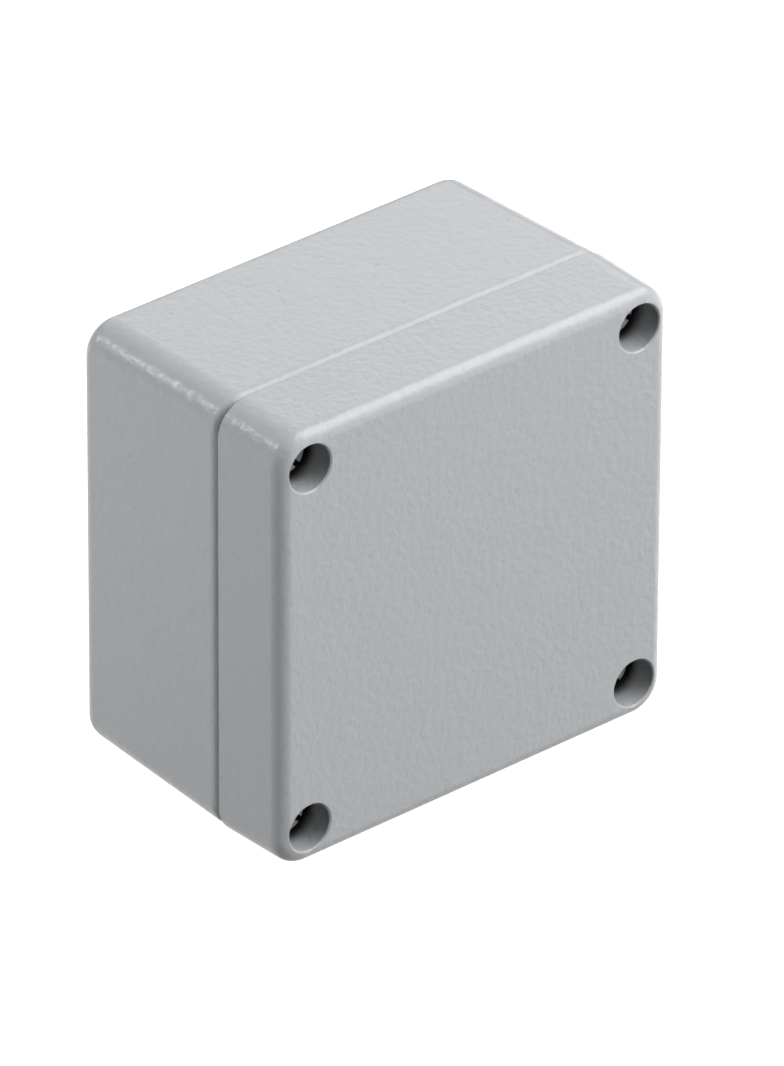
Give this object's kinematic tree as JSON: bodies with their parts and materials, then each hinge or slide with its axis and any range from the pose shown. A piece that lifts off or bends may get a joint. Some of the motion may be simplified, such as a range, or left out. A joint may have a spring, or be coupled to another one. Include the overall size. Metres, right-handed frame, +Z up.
{
  "type": "die cast aluminium box",
  "caption": "Small die cast aluminium enclosure with rounded edges, grey textured coat and a sealed lid held by captive screws deep in round wells.",
  "frame": {"origin": "on the ground, under the middle of the box as it stands on one side wall", "axes": "+X across the width, +Y from the lid to the back that goes on the wall, +Z up"},
  "size_m": [0.122, 0.076, 0.12],
  "materials": {
    "coated_casting": "satin",
    "seal": "matte",
    "ring_rubber": "matte",
    "screw_steel": "satin",
    "clamp_steel": "satin"
  },
  "bodies": {
    "base": {"base_housing": "coated_casting", "earth_screw": "screw_steel", "earth_clamp": "clamp_steel", "earth_lock_washer": "clamp_steel"},
    "lid": {"lid": "coated_casting", "lid_gasket": "seal", "screw_ring_upper_left": "ring_rubber", "screw_ring_upper_right": "ring_rubber", "screw_ring_lower_left": "ring_rubber", "screw_ring_lower_right": "ring_rubber"},
    "screw_upper_left": {"lid_screw_upper_left": "screw_steel"},
    "screw_upper_right": {"lid_screw_upper_right": "screw_steel"},
    "screw_lower_left": {"lid_screw_lower_left": "screw_steel"},
    "screw_lower_right": {"lid_screw_lower_right": "screw_steel"}
  },
  "joints": [
    {"name": "lid_lift", "type": "slide", "parent": "base", "child": "lid", "axis": [0, -1, 0], "range_m": [0, 0.11]},
    {"name": "unscrew_upper_left", "type": "slide", "parent": "lid", "child": "screw_upper_left", "axis": [0, -1, 0], "range_m": [0, 0.01]},
    {"name": "unscrew_upper_right", "type": "slide", "parent": "lid", "child": "screw_upper_right", "axis": [0, -1, 0], "range_m": [0, 0.01]},
    {"name": "unscrew_lower_left", "type": "slide", "parent": "lid", "child": "screw_lower_left", "axis": [0, -1, 0], "range_m": [0, 0.01]},
    {"name": "unscrew_lower_right", "type": "slide", "parent": "lid", "child": "screw_lower_right", "axis": [0, -1, 0], "range_m": [0, 0.01]}
  ]
}
